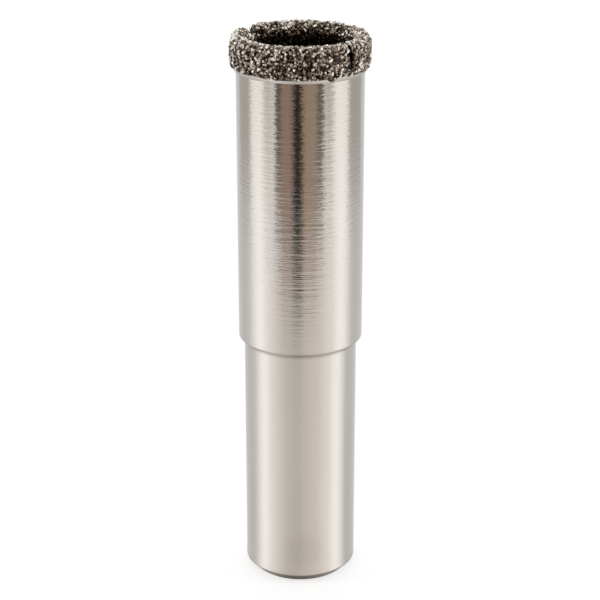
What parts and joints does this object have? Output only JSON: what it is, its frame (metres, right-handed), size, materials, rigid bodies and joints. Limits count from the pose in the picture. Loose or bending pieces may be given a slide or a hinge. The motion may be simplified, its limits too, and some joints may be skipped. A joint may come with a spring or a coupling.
{
  "type": "diamond core bit",
  "caption": "Small diamond core bit: a plain round steel shank and a hollow barrel whose rim wears a brazed ring of diamond grit, for drilling holes in tile, glass and stone.",
  "frame": {"origin": "centre of the flat end of the shank, which the bit stands on", "axes": "+Z along the axis of rotation from the shank to the crown; +X and +Y lie midway between the four rim slots"},
  "size_m": [0.0122, 0.0122, 0.0501],
  "materials": {
    "steel": "satin turned steel with a thin nickel look",
    "bond": "dull as-brazed metal",
    "diamond": "rough grey-brown crystals with bright facets"
  },
  "bodies": {
    "root": {"steel_body": "steel", "bond": "bond", "diamond_grit": "diamond"}
  },
  "joints": []
}
